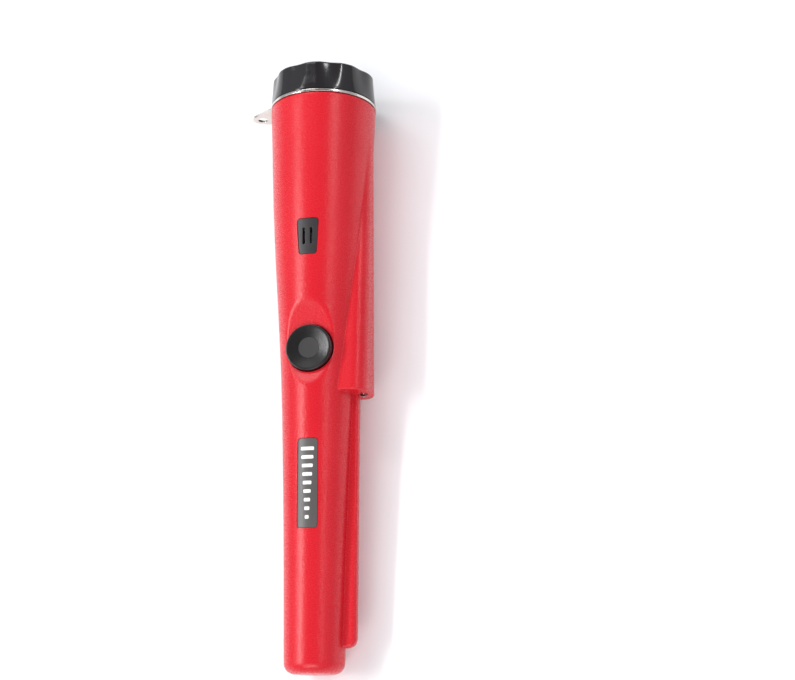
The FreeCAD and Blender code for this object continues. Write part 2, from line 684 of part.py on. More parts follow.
# ---- assembly ----
def nodes():
    return {
        "main_housing": main_housing(),
        "battery_cap": battery_cap(),
        "battery_bumper": battery_bumper(),
        "cap_seal_ring": cap_seal_ring(),
        "lanyard_ring": lanyard_ring(),
        "power_button": power_button(),
        "button_spring": button_spring(),
        "power_switch": power_switch(),
        "switch_plunger": switch_plunger(),
        "speaker_grille": speaker_grille(),
        "speaker": speaker(),
        "speaker_gasket": speaker_gasket(),
        "speaker_wires": speaker_wires(),
        "label_plate": label_plate(),
        "lamp": lamp(),
        "lamp_wires": lamp_wires(),
        "chassis": chassis(),
        "circuit_board": circuit_board(),
        "board_screws": board_screws(),
        "integrated_circuits": integrated_circuits(),
        "capacitors": capacitors(),
        "crystal": crystal(),
        "coil_connector": coil_connector(),
        "ferrite_rod": ferrite_rod(),
        "coil_former": coil_former(),
        "transmit_coil": winding(11.62, 31.98, 7.4),
        "receive_coil": winding(33.62, 46.48, 7.1),
        "coil_wires": coil_wires(),
        "tip_cushion": tip_cushion(),
        "vibration_motor": vibration_motor(),
        "motor_sleeve": motor_sleeve(),
        "motor_weight": motor_weight(),
        "motor_wires": motor_wires(),
        "battery": battery(),
        "battery_terminals": battery_terminals(),
        "snap_connector": snap_connector(),
        "snap_contacts": snap_contacts(),
        "battery_lead_red": battery_lead(1),
        "battery_lead_black": battery_lead(-1),
    }


def resting_pose(shapes):
    """Tilt that lays ring and tip on one plane, then the move to the footprint's middle."""
    rise = RING_RADIUS - PROFILE[0][1]
    tilt = math.degrees(math.atan(rise / (RING_START - TIP_ROUND)))
    turn = FreeCAD.Placement(Vector(0, 0, 0), FreeCAD.Rotation(Vector(1, 0, 0), tilt))
    outside = [shapes[name].copy() for name in ("main_housing", "battery_cap", "lanyard_ring")]
    for shape in outside:
        shape.Placement = turn.multiply(shape.Placement)
    low_x = min(s.optimalBoundingBox(False).XMin for s in outside)
    high_x = max(s.optimalBoundingBox(False).XMax for s in outside)
    low_y = min(s.optimalBoundingBox(False).YMin for s in outside)
    high_y = max(s.optimalBoundingBox(False).YMax for s in outside)
    low_z = min(s.optimalBoundingBox(False).ZMin for s in outside)
    move = Vector(-(low_x + high_x) / 2, -(low_y + high_y) / 2, -low_z)
    return FreeCAD.Placement(move, turn.Rotation), tilt, move


os.makedirs("parts", exist_ok=True)
shapes = nodes()
placement, tilt, move = resting_pose(shapes)
print("tilt %.4f degrees, moved by %s" % (tilt, move))
for name, shape in shapes.items():
    shape.Placement = placement.multiply(shape.Placement)
    shape.exportStep("parts/%s.step" % name)
    print("%-20s solids %d valid %s volume %.1f" % (name, len(shape.Solids), shape.isValid(), shape.Volume))
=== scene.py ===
"""Looks of a handheld metal-detecting pinpointer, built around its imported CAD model.

Shapes are worked out in millimetres in the probe's own frame and then placed in the row frame:
x points at the lamp pod and blade, s runs along the axis from tip to cap, and z points out of
the power button.
"""

import json
import math

import bmesh
import bpy
import numpy as np
from mathutils import Matrix, Vector


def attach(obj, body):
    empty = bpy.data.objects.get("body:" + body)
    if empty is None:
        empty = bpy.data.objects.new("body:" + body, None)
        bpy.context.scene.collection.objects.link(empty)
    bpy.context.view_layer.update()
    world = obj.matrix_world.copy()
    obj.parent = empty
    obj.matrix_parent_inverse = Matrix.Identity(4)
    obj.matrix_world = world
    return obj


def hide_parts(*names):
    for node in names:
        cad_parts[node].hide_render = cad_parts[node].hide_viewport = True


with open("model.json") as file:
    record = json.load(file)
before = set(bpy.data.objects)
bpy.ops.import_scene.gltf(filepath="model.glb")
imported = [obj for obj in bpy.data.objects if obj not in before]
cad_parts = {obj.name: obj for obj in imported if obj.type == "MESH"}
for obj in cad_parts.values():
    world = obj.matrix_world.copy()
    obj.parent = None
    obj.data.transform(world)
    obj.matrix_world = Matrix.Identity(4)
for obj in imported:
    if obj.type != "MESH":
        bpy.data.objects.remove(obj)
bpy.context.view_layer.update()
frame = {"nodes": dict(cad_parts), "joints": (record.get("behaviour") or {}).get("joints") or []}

JOINTS = {joint["name"]: joint for joint in frame["joints"]}
CAP_PIVOT_STATION = 220.0
ALONG = Vector(JOINTS["cap_turn"]["axis"]).normalized()
OUT = -Vector(JOINTS["button_press"]["axis"]).normalized()
ACROSS = ALONG.cross(OUT)
TIP = Vector(JOINTS["cap_turn"]["pos_m"]) - ALONG * CAP_PIVOT_STATION / 1000
TO_ROW = Matrix.Translation(TIP) @ Matrix((ACROSS, ALONG, OUT)).transposed().to_4x4() @ Matrix.Scale(0.001, 4)

# ---- dimensions of the visible shell, mm ----
PROFILE = [(4.0, 11.02), (50, 12.10), (85, 13.25), (110, 14.35), (147, 16.90),
           (175, 18.65), (200, 19.75), (215.5, 20.42)]
TIP_ROUND = 4.0
BODY_END = 216.0
WALL = 2.2
NECK_BORE = 16.0
NECK_RADIUS = 17.2
NECK_END = 226.0
SHOULDER_RADIUS = 17.85
SHOULDER_END = 217.2
THREAD_PITCH = 3.0
THREAD_HEIGHT = 0.65
THREAD_START = 220.0

POD_START, POD_END = 101.6, 206.0
POD_HALF = (9.55, 5.0)
POD_REACH = (20.1, 19.9)
POD_CORNER = (5.5, 4.0)
POD_RIM = 0.8
POD_FILLET = 0.3
BLADE_START, BLADE_REACH, BLADE_HALF, BLADE_NOSE = 9.0, 15.8, 2.0, 3.5
BLADE_CREST, BLADE_FILLET = 1.3, 0.25
BUTTON_STATION, BUTTON_RADIUS, BUTTON_FACE, BUTTON_HOLE = 117.2, 8.7, 14.4, 9.05
DISH_DEPTH, DISC_RADIUS, DISC_EDGE = 0.7, 4.0, 0.25
POCKET_RADIUS, POCKET_FLOOR, POCKET_EDGE = 41.0, 11.8, 0.45
LAMP_HEIGHT, LAMP_BORE = 17.4, 1.55

CAP_START, CAP_END, CAP_BORE, CAP_CEILING = 217.4, 229.0, 18.15, 226.6
CAP_LOBES, CAP_LOBE_TURN = 9, 65.5
CAP_STATIONS = (CAP_START, 219.6, 223.0, 226.4, CAP_END)
CAP_CRESTS = (20.5, 20.42, 20.2, 20.02, 19.9)
LOBE_DEPTHS = (0.0, 0.26, 0.50, 0.69, 0.85)
CAP_DIMPLE = 0.25
CAP_RIM = 1.0
RING_START, RING_THICK, RING_RADIUS, RING_HOLE = 216.15, 1.0, 20.65, 18.0
EAR_REACH, EAR_NOSE, EAR_HALF_ANGLE, EAR_TURN, EAR_HOLE = 25.95, 4.0, 28.0, 184.6, 2.0
GRILLE_START, GRILLE_END = 152.2, 166.2
GRILLE_HALF = (3.5, 4.35)
SLOT_PLACE, SLOT_HALF = 1.43, 0.45
LABEL_START, LABEL_END, LABEL_HALF = 50.8, 83.5, 3.9
INSERT_CORNER = 1.3
MARK_COUNT, MARK_PITCH, MARK_GROWTH = 9, 3.1, 0.22


# ---- small geometry helpers ----
def natural_spline(points):
    """Smooth function through (station, value) points, straight at both ends."""
    at, value = np.array(points, float).T
    gap = np.diff(at)
    slope = np.diff(value) / gap
    count = len(at)
    system, right = np.eye(count), np.zeros(count)
    for i in range(1, count - 1):
        system[i, i - 1:i + 2] = gap[i - 1], 2 * (gap[i - 1] + gap[i]), gap[i]
        right[i] = 6 * (slope[i] - slope[i - 1])
    bend = np.linalg.solve(system, right)

    def curve(station):
        station = np.asarray(station, float)
        i = np.clip(np.searchsorted(at, station) - 1, 0, count - 2)
        a, b = at[i + 1] - station, station - at[i]
        cubic = (bend[i] * a ** 3 + bend[i + 1] * b ** 3) / (6 * gap[i])
        return (cubic + (value[i] / gap[i] - bend[i] * gap[i] / 6) * a
                + (value[i + 1] / gap[i] - bend[i + 1] * gap[i] / 6) * b)

    return curve


body_radius = natural_spline(PROFILE)


def round_union(a, b, radius):
    """Union of two distance fields with a fillet in the crease."""
    return np.maximum(radius, np.minimum(a, b)) - np.hypot(np.maximum(radius - a, 0), np.maximum(radius - b, 0))


def round_overlap(a, b, radius):
    """Overlap of two distance fields with a rounded edge."""
    return np.minimum(-radius, np.maximum(a, b)) + np.hypot(np.maximum(radius + a, 0), np.maximum(radius + b, 0))


def blend_pair(pair, share):
    return pair[0] + (pair[1] - pair[0]) * share


def pod_distance(x, s, z):
    share = (s - POD_START) / (POD_END - POD_START)
    side = np.abs(z) - blend_pair(POD_HALF, share)
    section = round_overlap(x - blend_pair(POD_REACH, share), side, blend_pair(POD_CORNER, share))
    return np.maximum(round_overlap(section, POD_START - s, POD_RIM), 6.0 - x)


def blade_distance(x, s, z):
    ridge = round_overlap(x - BLADE_REACH, BLADE_START - s, BLADE_NOSE)
    return np.maximum(round_overlap(ridge, np.abs(z) - BLADE_HALF, BLADE_CREST), 4.0 - x)


def shell_distance(x, s, z, inset):
    """Distance to the moulded skin, or to the inner wall when inset is the wall thickness."""
    shell = np.hypot(x, z) - body_radius(s) + inset
    shell = round_union(shell, pod_distance(x, s, z) + inset, POD_FILLET)
    if inset == 0:
        shell = round_union(shell, blade_distance(x, s, z), BLADE_FILLET)
    from_axis = np.hypot(s - BUTTON_STATION, z - POCKET_FLOOR - POCKET_RADIUS)
    return round_overlap(shell, POCKET_RADIUS + inset - from_axis, POCKET_EDGE)


def skin_radius(angles, s, inset=0.0):
    """Radius of the skin at each angle, by bisection outwards from the axis."""
    low, high = np.full_like(angles, 3.0), np.full_like(angles, 24.0)
    for _ in range(26):
        middle = (low + high) / 2
        inside = shell_distance(middle * np.cos(angles), s, middle * np.sin(angles), inset) < 0
        low, high = np.where(inside, middle, low), np.where(inside, high, middle)
    return low


def ring_at(angles, s, radius):
    radius = np.broadcast_to(radius, angles.shape)
    station = np.broadcast_to(s, angles.shape)
    return np.stack([radius * np.cos(angles), station, radius * np.sin(angles)], axis=1)


def spread(*stretches):
    """Values along (start, end, step) stretches, without repeats."""
    values = [np.arange(start, end, step) for start, end, step in stretches]
    return np.concatenate(values + [[stretches[-1][1]]])


def new_piece(name, vertices, faces, body, material, sharp=40.0):
    mesh = bpy.data.meshes.new(name)
    mesh.from_pydata([TO_ROW @ Vector(v) for v in vertices], [], faces)
    piece = bpy.data.objects.new(name, mesh)
    bpy.context.scene.collection.objects.link(piece)
    finish_piece(piece, body, material, sharp)
    return piece


def finish_piece(piece, body, material, sharp):
    mesh = piece.data
    edit = bmesh.new()
    edit.from_mesh(mesh)
    bmesh.ops.remove_doubles(edit, verts=edit.verts, dist=1e-7)
    bmesh.ops.recalc_face_normals(edit, faces=edit.faces)
    edit.to_mesh(mesh)
    edit.free()
    mesh.shade_smooth()
    mesh.set_sharp_from_angle(angle=math.radians(sharp))
    mesh.materials.clear()
    mesh.materials.append(material)
    if body:
        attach(piece, body)


def closed_surface(rings, first_pole, last_pole):
    """Vertices and faces of a closed surface through rings, with a pole at each end."""
    count = len(rings[0])
    vertices = [tuple(first_pole)] + [tuple(p) for ring in rings for p in ring] + [tuple(last_pole)]
    last = len(vertices) - 1
    faces = []
    for j in range(count):
        k = (j + 1) % count
        faces.append((0, 1 + j, 1 + k))
        faces.append((last, last - count + k, last - count + j))
        for i in range(len(rings) - 1):
            low, high = 1 + i * count, 1 + (i + 1) * count
            faces.append((low + j, high + j, high + k, low + k))
    return vertices, faces


def apply_modifiers(piece):
    depsgraph = bpy.context.evaluated_depsgraph_get()
    baked = bpy.data.meshes.new_from_object(piece.evaluated_get(depsgraph))
    old = piece.data
    piece.modifiers.clear()
    piece.data = baked
    bpy.data.meshes.remove(old)


def carve(piece, cutters):
    """Cuts closed cutter meshes, given as (vertices, faces), out of a piece."""
    for vertices, faces in cutters:
        mesh = bpy.data.meshes.new("cutter")
        mesh.from_pydata([TO_ROW @ Vector(v) for v in vertices], [], faces)
        cutter = bpy.data.objects.new("cutter", mesh)
        bpy.context.scene.collection.objects.link(cutter)
        edit = bmesh.new()
        edit.from_mesh(mesh)
        bmesh.ops.recalc_face_normals(edit, faces=edit.faces)
        edit.to_mesh(mesh)
        edit.free()
        modifier = piece.modifiers.new("cut", "BOOLEAN")
        modifier.operation = "DIFFERENCE"
        modifier.solver = "EXACT"
        modifier.object = cutter
        apply_modifiers(piece)
        bpy.data.objects.remove(cutter)
        bpy.data.meshes.remove(mesh)


def rounded_outline(points, radius, steps=6):
    """Closed 2D outline with each corner replaced by an arc."""
    result = []
    points = [Vector(p) for p in points]
    for i, corner in enumerate(points):
        back = (points[i - 1] - corner).normalized()
        ahead = (points[(i + 1) % len(points)] - corner).normalized()
        half = back.angle(ahead) / 2
        centre = corner + (back + ahead).normalized() * radius / math.sin(half)
        start = corner + back * radius / math.tan(half) - centre
        end = corner + ahead * radius / math.tan(half) - centre
        turn = start.angle_signed(end)
        for k in range(steps + 1):
            spoke = start.copy()
            spoke.rotate(Matrix.Rotation(-turn * k / steps, 2))
            result.append(tuple(centre + spoke))
    return result


def column_faces(count):
    """End caps and sides of a column whose lower ring comes first."""
    faces = [tuple(range(count)), tuple(range(2 * count - 1, count - 1, -1))]
    return faces + [(j, (j + 1) % count, count + (j + 1) % count, count + j) for j in range(count)]


def prism(outline, low, high):
    """Closed column over an (x, s) outline between two heights."""
    vertices = [(x, s, low) for x, s in outline] + [(x, s, high) for x, s in outline]
    return vertices, column_faces(len(outline))


def column(radius, low, high, direction, centre, count=96):
    """Closed cylinder along "s" or "z" through an off-axis centre (x, s, z)."""
    turns = [2 * math.pi * i / count for i in range(count)]
    spots = [(radius * math.cos(t), radius * math.sin(t)) for t in turns]
    cx, cs, cz = centre
    if direction == "z":
        vertices = [(cx + a, cs + b, h) for h in (low, high) for a, b in spots]
    else:
        vertices = [(cx + a, h, cz + b) for h in (low, high) for a, b in spots]
    return vertices, column_faces(count)


def grille_outline(gap):
    near, far = GRILLE_HALF[0] - gap, GRILLE_HALF[1] - gap
    start, end = GRILLE_START + gap, GRILLE_END - gap
    return rounded_outline([(-near, start), (near, start), (far, end), (-far, end)], INSERT_CORNER - gap)


def label_outline(gap):
    half, start, end = LABEL_HALF - gap, LABEL_START + gap, LABEL_END - gap
    return rounded_outline([(-half, start), (half, start), (half, end), (-half, end)], INSERT_CORNER - gap)


def thread_height(angles, s, start, turns):
    """Height of a right-hand helical ridge over its root, with tapered ends."""
    height = np.zeros_like(angles)
    for lap in range(int(turns) + 1):
        advance = np.mod(-angles, 2 * math.pi) + 2 * math.pi * lap
        centre = start + THREAD_PITCH * advance / (2 * math.pi)
        flank = np.clip((0.70 - np.abs(s - centre)) / 0.35, 0, 1)
        run_in = np.clip(advance / 0.12, 0, 1)
        run_out = np.clip((2 * math.pi * turns - advance) / 0.12, 0, 1)
        height = np.maximum(height, THREAD_HEIGHT * flank * run_in * run_out)
    return height


# ---- materials ----
def node_material(name):
    material = bpy.data.materials.new(name)
    material.use_nodes = True
    tree = material.node_tree
    shader = next(n for n in tree.nodes if n.type == "BSDF_PRINCIPLED")
    place = tree.nodes.new("ShaderNodeTexCoord")
    return material, tree, shader, place.outputs["Object"]


def noise(tree, place, scale, detail=3.0, roughness=0.5):
    node = tree.nodes.new("ShaderNodeTexNoise")
    node.inputs["Scale"].default_value = scale
    node.inputs["Detail"].default_value = detail
    node.inputs["Roughness"].default_value = roughness
    tree.links.new(place, node.inputs["Vector"])
    return node.outputs["Fac"]


def ramp(tree, factor, stops):
    """Colour ramp from (position, colour) stops; a number makes a grey."""
    node = tree.nodes.new("ShaderNodeValToRGB")
    elements = node.color_ramp.elements
    while len(elements) < len(stops):
        elements.new(0.5)
    for element, (position, colour) in zip(elements, stops):
        element.position = position
        grey = (colour, colour, colour) if isinstance(colour, float) else colour
        element.color = (*grey, 1)
    tree.links.new(factor, node.inputs["Fac"])
    return node.outputs["Color"]


def bump(tree, shader, height, distance, strength=1.0):
    node = tree.nodes.new("ShaderNodeBump")
    node.inputs["Distance"].default_value = distance
    node.inputs["Strength"].default_value = strength
    tree.links.new(height, node.inputs["Height"])
    existing = shader.inputs["Normal"].links
    if existing:
        tree.links.new(existing[0].from_socket, node.inputs["Normal"])
    tree.links.new(node.outputs["Normal"], shader.inputs["Normal"])


def moulded(name, dark, light, rough=(0.35, 0.5), grain=2200.0, depth=2e-5):
    """Moulded plastic or rubber: faint colour drift, fine surface grain and uneven gloss."""
    material, tree, shader, place = node_material(name)
    drift = noise(tree, place, 35.0, 4.0)
    tree.links.new(ramp(tree, drift, [(0.3, dark), (0.7, light)]), shader.inputs["Base Color"])
    fine = noise(tree, place, grain, 2.0, 0.6)
    tree.links.new(ramp(tree, fine, [(0.25, rough[0]), (0.75, rough[1])]), shader.inputs["Roughness"])
    bump(tree, shader, fine, depth)
    return material


def metal(name, dark, light, rough=(0.2, 0.35), scratch=900.0):
    """Bare or plated metal with faint tumbling marks."""
    material, tree, shader, place = node_material(name)
    marks = noise(tree, place, scratch, 5.0, 0.7)
    tree.links.new(ramp(tree, marks, [(0.3, dark), (0.7, light)]), shader.inputs["Base Color"])
    tree.links.new(ramp(tree, marks, [(0.3, rough[0]), (0.7, rough[1])]), shader.inputs["Roughness"])
    shader.inputs["Metallic"].default_value = 1.0
    bump(tree, shader, marks, 4e-6)
    return material


def clear_epoxy(name):
    material, tree, shader, place = node_material(name)
    haze = noise(tree, place, 400.0)
    tree.links.new(ramp(tree, haze, [(0.0, 0.04), (1.0, 0.10)]), shader.inputs["Roughness"])
    tree.links.new(ramp(tree, haze, [(0.0, (0.9, 0.92, 0.95)), (1.0, (0.97, 0.98, 1.0))]),
                   shader.inputs["Base Color"])
    shader.inputs["Transmission Weight"].default_value = 1.0
    shader.inputs["IOR"].default_value = 1.53
    return material


def red_housing():
    """Spark-eroded red plastic: two sizes of grain that break up the highlight."""
    material = moulded("red_housing", (0.60, 0.010, 0.020), (0.64, 0.014, 0.025), (0.22, 0.32), 2600.0, 3.0e-5)
    tree = material.node_tree
    shader = next(n for n in tree.nodes if n.type == "BSDF_PRINCIPLED")
    place = next(n for n in tree.nodes if n.type == "TEX_COORD").outputs["Object"]
    bump(tree, shader, noise(tree, place, 1250.0, 2.0, 0.6), 1.0e-4)
    shader.inputs["Specular IOR Level"].default_value = 0.36
    return material


def button_plastic():
    """Polished dish round a textured, lighter centre."""
    material = moulded("button_black", (0.008, 0.008, 0.008), (0.013, 0.012, 0.013), (0.20, 0.28), 2000.0, 1.5e-5)
    tree = material.node_tree
    shader = next(n for n in tree.nodes if n.type == "BSDF_PRINCIPLED")
    place = next(n for n in tree.nodes if n.type == "TEX_COORD").outputs["Object"]
    reach = tree.nodes.new("ShaderNodeVectorMath")
    reach.operation = "DISTANCE"
    tree.links.new(place, reach.inputs[0])
    reach.inputs[1].default_value = TO_ROW @ Vector((0, BUTTON_STATION, BUTTON_FACE - DISH_DEPTH))
    centre = tree.nodes.new("ShaderNodeMapRange")
    centre.inputs["From Min"].default_value = (DISC_RADIUS - DISC_EDGE) / 1000
    centre.inputs["From Max"].default_value = DISC_RADIUS / 1000
    centre.inputs["To Min"].default_value = 1.0
    centre.inputs["To Max"].default_value = 0.0
    tree.links.new(reach.outputs["Value"], centre.inputs["Value"])
    for socket, inside in (("Base Color", (0.024, 0.022, 0.023)), ("Roughness", 0.50)):
        mix = tree.nodes.new("ShaderNodeMix")
        mix.data_type = "RGBA"
        tree.links.new(centre.outputs["Result"], mix.inputs["Factor"])
        tree.links.new(shader.inputs[socket].links[0].from_socket, mix.inputs[6])
        colour = inside if isinstance(inside, tuple) else (inside, inside, inside)
        mix.inputs[7].default_value = (*colour, 1)
        tree.links.new(mix.outputs[2], shader.inputs[socket])
    return material


RED = red_housing()
CAP_BLACK = moulded("cap_black", (0.010, 0.009, 0.010), (0.015, 0.013, 0.015), (0.10, 0.17), 900.0, 3e-6)
BUTTON_BLACK = button_plastic()
GRILLE_DARK = moulded("grille_dark", (0.020, 0.018, 0.019), (0.030, 0.027, 0.029), (0.35, 0.5), 2600.0, 1e-5)
BADGE_GREY = moulded("badge_grey", (0.085, 0.078, 0.076), (0.105, 0.097, 0.094), (0.32, 0.42), 2200.0, 6e-6)
BADGE_WHITE = moulded("badge_white", (0.80, 0.79, 0.78), (0.88, 0.87, 0.86), (0.35, 0.45), 1800.0, 4e-6)
RUBBER = moulded("rubber_black", (0.020, 0.020, 0.020), (0.034, 0.034, 0.034), (0.6, 0.8), 1500.0, 2e-5)
STEEL = metal("ring_steel", (0.60, 0.57, 0.53), (0.76, 0.73, 0.69), (0.15, 0.25))
WIRE_STEEL = metal("spring_steel", (0.45, 0.45, 0.45), (0.62, 0.62, 0.62))
CAN_ALUMINIUM = metal("can_aluminium", (0.60, 0.60, 0.62), (0.74, 0.74, 0.76))
NICKEL = metal("contact_nickel", (0.66, 0.64, 0.58), (0.80, 0.78, 0.72), (0.12, 0.22))
JACKET = metal("battery_jacket", (0.30, 0.31, 0.33), (0.42, 0.43, 0.46), (0.3, 0.4))
COPPER = metal("enamelled_copper", (0.55, 0.20, 0.07), (0.75, 0.32, 0.12), (0.25, 0.4), 3000.0)
FERRITE = moulded("ferrite", (0.030, 0.030, 0.033), (0.055, 0.055, 0.058), (0.45, 0.65), 1800.0, 2e-5)
BOARD = moulded("solder_mask", (0.010, 0.11, 0.045), (0.016, 0.17, 0.07), (0.25, 0.35), 1500.0, 6e-6)
CHASSIS = moulded("chassis_grey", (0.09, 0.09, 0.10), (0.13, 0.13, 0.14))
NYLON = moulded("nylon", (0.62, 0.60, 0.52), (0.74, 0.72, 0.64))
CHIP = moulded("chip_black", (0.018, 0.018, 0.018), (0.032, 0.032, 0.032), (0.45, 0.6))
WIRE_RED = moulded("wire_red", (0.45, 0.012, 0.012), (0.58, 0.02, 0.02), (0.25, 0.35), 1500.0, 6e-6)
WIRE_BLACK = moulded("wire_black", (0.012, 0.012, 0.012), (0.022, 0.022, 0.022), (0.25, 0.35), 1500.0, 6e-6)
LENS = clear_epoxy("lamp_epoxy")


# ---- housing ----
def housing_angles():
    """Columns round the axis, close together at the blade's sides and over the button pocket."""
    degrees = spread((-180, -48, 1.5), (-48, -13, 0.9), (-13, -6, 0.25), (-6, 6, 0.75), (6, 13, 0.25),
                     (13, 48, 0.9), (48, 132, 0.7), (132, 180, 1.5))
    return np.radians(degrees[:-1])


def housing_rings(angles):
    """Rings from the tip's face, along the skin, over the neck and back down the inside."""
    rings = []
    tip_flat = PROFILE[0][1] - TIP_ROUND
    for radius, station in ((0.45, 0.18), (0.60, 0.10), (0.75, 0.0), (tip_flat * 0.5, 0.0), (tip_flat, 0.0)):
        rings.append(ring_at(angles, station, radius))
    for i in range(1, 13):
        turn = math.pi / 2 * i / 12
        rings.append(ring_at(angles, TIP_ROUND - TIP_ROUND * math.cos(turn), tip_flat + TIP_ROUND * math.sin(turn)))
    before = spread((5.0, 8.2, 0.8), (8.2, 13.2, 0.2), (13.2, 96.0, 1.2), (96.0, 100.4, 0.4),
                    (100.4, POD_START - 0.01, 0.1))
    after = spread((POD_START + 0.01, 102.6, 0.1), (102.6, 137.0, 0.3), (137.0, PROFILE[-1][0], 1.2))
    for station in before:
        rings.append(ring_at(angles, station, skin_radius(angles, station)))
    low, high = skin_radius(angles, before[-1]), skin_radius(angles, after[0])
    for share in (0.2, 0.4, 0.6, 0.8):
        rings.append(ring_at(angles, POD_START, low + (high - low) * share))
    for station in after:
        rings.append(ring_at(angles, station, skin_radius(angles, station)))
    rim = skin_radius(angles, PROFILE[-1][0])
    for turn in (0.35, 0.7, 1.0):
        rings.append(ring_at(angles, PROFILE[-1][0] + 0.5 * math.sin(turn * math.pi / 2),
                             rim - 0.5 * (1 - math.cos(turn * math.pi / 2))))
    return rings + neck_rings(angles) + inner_rings(angles)


def neck_rings(angles):
    rings = [ring_at(angles, BODY_END, SHOULDER_RADIUS), ring_at(angles, SHOULDER_END - 0.1, SHOULDER_RADIUS),
             ring_at(angles, SHOULDER_END, SHOULDER_RADIUS - 0.1), ring_at(angles, SHOULDER_END, NECK_RADIUS)]
    for station in spread((SHOULDER_END + 0.3, NECK_END - 0.3, 0.17)):
        ridge = thread_height(angles, station, THREAD_START, 1.75)
        rings.append(ring_at(angles, station, NECK_RADIUS + ridge))
    rings.append(ring_at(angles, NECK_END, NECK_RADIUS - 0.3))
    rings.append(ring_at(angles, NECK_END, NECK_BORE + 0.2))
    rings.append(ring_at(angles, NECK_END - 0.2, NECK_BORE))
    return rings


def inner_rings(angles):
    rings = [ring_at(angles, 212.4, NECK_BORE)]
    for station in spread((212.0, 134.0, -3.0), (134.0, 106.0, -1.0), (106.0, 103.0, -0.3), (103.0, 5.0, -4.0)):
        rings.append(ring_at(angles, station, skin_radius(angles, station, WALL)))
    rings.append(ring_at(angles, 3.2, 7.8))
    rings.append(ring_at(angles, 2.4, 6.4))
    return rings


def make_housing():
    angles = housing_angles()
    vertices, faces = closed_surface(housing_rings(angles), (0, 0.18, 0), (0, 2.4, 0))
    piece = new_piece("housing_shell", vertices, faces, "root", RED)
    carve(piece, [
        column(BUTTON_HOLE, 5.0, 20.0, "z", (0, BUTTON_STATION, 0), 160),
        prism(grille_outline(0.0), 8.0, 22.0),
        column(LAMP_BORE, 100.9, 107.0, "s", (LAMP_HEIGHT, 0, 0), 64),
    ])
    carve(piece, [label_cutter()])
    finish_piece(piece, None, RED, 34.0)
    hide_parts("main_housing")


# ---- flat plates, and inserts that follow the skin ----
def flat_plate(outlines, thickness, bevel, resolution):
    """Mesh of a bevelled plate from flat outlines; every outline after the first is a hole."""
    curve = bpy.data.curves.new("flat", "CURVE")
    curve.dimensions = "2D"
    curve.fill_mode = "BOTH"
    curve.extrude = thickness / 2 - bevel
    curve.bevel_depth = bevel
    curve.bevel_resolution = resolution
    curve.offset = -bevel
    for points in outlines:
        spline = curve.splines.new("POLY")
        spline.points.add(len(points) - 1)
        for point, (x, y) in zip(spline.points, points):
            point.co = (x, y, 0, 1)
        spline.use_cyclic_u = True
    flat = bpy.data.objects.new("flat", curve)
    bpy.context.scene.collection.objects.link(flat)
    mesh = bpy.data.meshes.new_from_object(flat.evaluated_get(bpy.context.evaluated_depsgraph_get()))
    bpy.data.objects.remove(flat)
    bpy.data.curves.remove(curve)
    return mesh


def skin_plate(outlines, inset, thickness, bevel, gap_lines=0.35):
    """Curved plate under the skin from flat (x, s) outlines."""
    mesh = flat_plate(outlines, thickness, bevel, 2)
    edit = bmesh.new()
    edit.from_mesh(mesh)
    bpy.data.meshes.remove(mesh)
    bmesh.ops.remove_doubles(edit, verts=edit.verts, dist=1e-4)
    reach = max(abs(v.co.x) for v in edit.verts)
    for x in np.arange(-reach + gap_lines, reach, gap_lines):
        everything = edit.verts[:] + edit.edges[:] + edit.faces[:]
        bmesh.ops.bisect_plane(edit, geom=everything, plane_co=(x, 0, 0), plane_no=(1, 0, 0))
    for vertex in edit.verts:
        x, s, height = vertex.co
        top = math.sqrt(float(body_radius(s)) ** 2 - x * x)
        vertex.co.z = top - inset - thickness / 2 + height
    vertices = [tuple(v.co) for v in edit.verts]
    edit.verts.index_update()
    faces = [tuple(v.index for v in f.verts) for f in edit.faces]
    edit.free()
    return vertices, faces


def slot_outline(x, low, high, half):
    corners = [(x - half, low), (x + half, low), (x + half, high), (x - half, high)]
    return rounded_outline(corners, half * 0.95)


def make_grille():
    middle = (GRILLE_START + GRILLE_END) / 2
    slots = [slot_outline(x, middle - 3.0, middle + 3.3, SLOT_HALF) for x in (-SLOT_PLACE, SLOT_PLACE)]
    vertices, faces = skin_plate([grille_outline(0.16)] + slots, 0.05, 1.6, 0.16)
    piece = new_piece("grille_insert", vertices, faces, "root", GRILLE_DARK, 50.0)
    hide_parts("speaker_grille")


def label_cutter():
    return skin_plate([label_outline(0.0)], -2.0, 2.7, 0.01, 0.5)


def make_badge():
    vertices, faces = skin_plate([label_outline(0.15)], 0.12, 0.55, 0.10)
    plate = new_piece("badge_plate", vertices, faces, "root", BADGE_GREY, 50.0)
    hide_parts("label_plate")
    vertices, faces = [], []
    for outline in badge_marks():
        some, more = skin_plate([outline], 0.09, 0.10, 0.02, 0.3)
        faces += [tuple(len(vertices) + i for i in face) for face in more]
        vertices += some
    new_piece("badge_marks", vertices, faces, "root", BADGE_WHITE, 50.0)


def badge_marks():
    """Generic rising signal bars, growing towards the button."""
    marks = []
    for i in range(MARK_COUNT):
        station = LABEL_START + 4.0 + MARK_PITCH * i
        half = 0.75 + MARK_GROWTH * i
        corners = [(-half, station - 0.65), (half, station - 0.65), (half, station + 0.65), (-half, station + 0.65)]
        marks.append(rounded_outline(corners, 0.35, 4))
    return marks


# ---- cap ----
def lobe_depth(s):
    return float(np.interp(s, CAP_STATIONS, LOBE_DEPTHS))


def cap_crest(s):
    return float(np.interp(s, CAP_STATIONS, CAP_CRESTS))


def cap_radius(angles, s):
    wave = 0.5 + 0.5 * np.cos(CAP_LOBES * (angles - math.radians(CAP_LOBE_TURN)))
    return cap_crest(s) - lobe_depth(s) * wave ** 1.5


